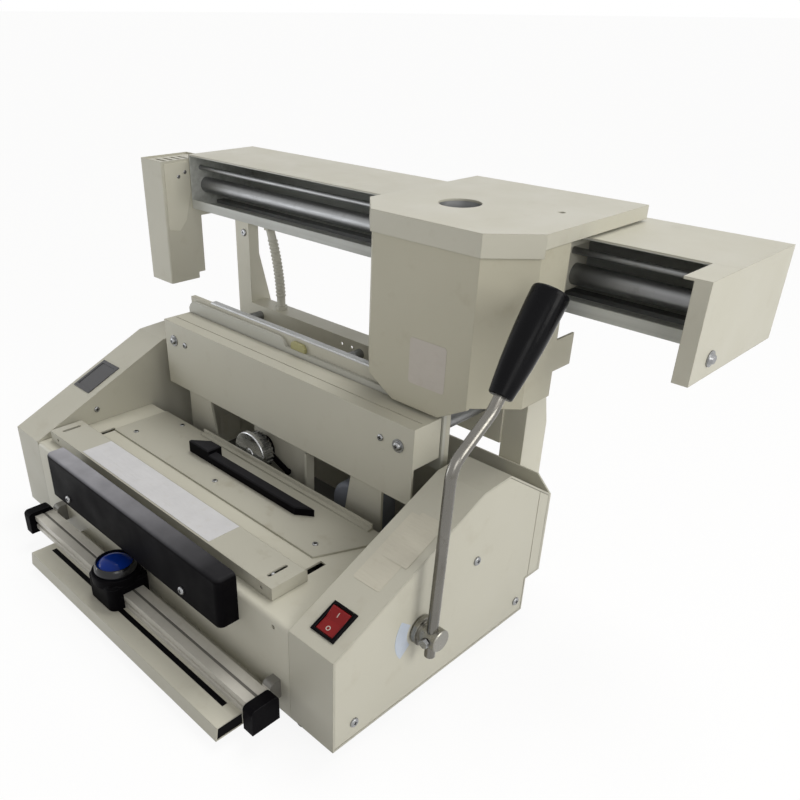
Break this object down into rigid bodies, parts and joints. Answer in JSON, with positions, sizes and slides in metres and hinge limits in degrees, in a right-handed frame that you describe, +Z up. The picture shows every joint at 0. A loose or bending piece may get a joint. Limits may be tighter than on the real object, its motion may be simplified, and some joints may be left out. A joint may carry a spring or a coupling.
{
  "type": "desktop perfect binding machine",
  "caption": "Hand-worked hot-melt book binder: table between cabinets, crank-driven clamp, glue tank on a gantry rail, creaser and nipping lever.",
  "frame": {"origin": "middle of the machine's outer box, on the desk surface", "axes": "+Z up, +Y from the operator to the back, +X to the operator's right, along the gantry rail"},
  "size_m": [0.7468, 0.462, 0.388],
  "materials": {
    "cream_paint": "semi-gloss powder coat",
    "steel_dark": "satin",
    "rubber": "matt",
    "black_plastic": "satin",
    "screw_steel": "bright zinc",
    "rod_steel": "ground steel",
    "brushed": "brushed",
    "aluminium": "anodised",
    "brass": "turned",
    "white_plastic": "satin",
    "olive_plastic": "satin",
    "grey_housing": "satin",
    "paper": "matt",
    "blue_plastic": "gloss",
    "red_plastic": "gloss",
    "dark_window": "gloss",
    "tan_board": "matt",
    "grip_plastic": "gloss"
  },
  "bodies": {
    "base": {"base_plate": "steel_dark", "bushes": "brass", "cabinet_left": "cream_paint", "cabinet_right": "cream_paint", "conduit": "white_plastic", "conduit_glands": "white_plastic", "cover_housing": "grey_housing", "creaser_base": "cream_paint", "creaser_caps": "black_plastic", "creaser_rail": "aluminium", "deck": "cream_paint", "display_window": "dark_window", "end_cap": "cream_paint", "feet": "rubber", "front_bar": "black_plastic", "front_jaw": "cream_paint", "gantry_channel": "cream_paint", "guide_rods": "rod_steel", "hanging_unit": "cream_paint", "jaw_supports": "cream_paint", "posts": "cream_paint", "power_inlet": "black_plastic", "rails": "rod_steel", "rear_beam": "cream_paint", "rear_casing": "cream_paint", "rear_table": "cream_paint", "rod_bolts": "screw_steel", "screws": "screw_steel", "side_panels": "cream_paint", "stop_bar": "black_plastic", "switch_bezel": "black_plastic", "table_ledge": "cream_paint"},
    "tray": {"tray": "cream_paint", "tray_sheet": "paper", "tray_brackets": "brushed"},
    "lever": {"lever_shaft": "rod_steel", "crank_arms": "brushed", "lever_hub": "rod_steel", "lever_bolt": "screw_steel", "lever_rod": "rod_steel", "lever_grip": "grip_plastic"},
    "rear_jaw": {"rear_jaw": "cream_paint", "rear_jaw_facing": "white_plastic", "spine_strip": "brushed", "centre_block": "olive_plastic"},
    "clamp_screw": {"lead_screw": "rod_steel", "crank_wheel": "rod_steel", "crank_handle": "black_plastic"},
    "carriage": {"carriage_lid": "cream_paint", "carriage_body": "cream_paint", "filler_tube": "brushed", "glue_tank": "aluminium", "carriage_bracket": "cream_paint", "heat_block": "tan_board", "drip_guard": "brushed"},
    "glue_roller": {"glue_roller": "brushed"},
    "creaser": {"slider_body": "black_plastic"},
    "crease_button": {"crease_button": "blue_plastic"},
    "crease_wheel": {"crease_wheel": "brushed"},
    "rocker": {"switch_rocker": "red_plastic"}
  },
  "joints": [
    {"name": "lever_swing", "type": "hinge", "parent": "base", "child": "lever", "pos_m": [0.2696, -0.0675, 0.0803], "axis": [1, 0, 0], "range_deg": [0, 55]},
    {"name": "tray_slide", "type": "slide", "parent": "base", "child": "tray", "axis": [0, 1, 0], "range_m": [0, 0.023]},
    {"name": "jaw_slide", "type": "slide", "parent": "base", "child": "rear_jaw", "axis": [0, 1, 0], "range_m": [0, 0.055]},
    {"name": "crank_turn", "type": "hinge", "parent": "base", "child": "clamp_screw", "pos_m": [-0.0394, -0.014, 0.111], "axis": [0, 1, 0], "range_deg": [0, 990]},
    {"name": "carriage_slide", "type": "slide", "parent": "base", "child": "carriage", "axis": [1, 0, 0], "range_m": [-0.386, 0.01]},
    {"name": "roller_turn", "type": "hinge", "parent": "carriage", "child": "glue_roller", "pos_m": [0.1546, 0.063, 0.2597], "axis": [0, 1, 0], "range_deg": [-1108, 31]},
    {"name": "creaser_slide", "type": "slide", "parent": "base", "child": "creaser", "axis": [1, 0, 0], "range_m": [-0.132, 0.185]},
    {"name": "wheel_turn", "type": "hinge", "parent": "creaser", "child": "crease_wheel", "pos_m": [-0.0284, -0.2085, 0.0313], "axis": [0, 1, 0], "range_deg": [-843, 1180]},
    {"name": "button_press", "type": "slide", "parent": "creaser", "child": "crease_button", "axis": [0, 0, -1], "range_m": [0, 0.0035], "stiffness_N_per_m": 700, "springref_m": -0.001},
    {"name": "rocker_tip", "type": "hinge", "parent": "base", "child": "rocker", "pos_m": [0.2296, -0.14239, 0.11285], "axis": [1, 0, 0], "range_deg": [-14, 0]}
  ],
  "couplings": [
    {"joint": "tray_slide", "follows": "lever_swing", "m_per_rad": 0.02396},
    {"joint": "crank_turn", "follows": "jaw_slide", "rad_per_m": 314.16},
    {"joint": "roller_turn", "follows": "carriage_slide", "rad_per_m": 50},
    {"joint": "wheel_turn", "follows": "creaser_slide", "rad_per_m": 111.11}
  ]
}
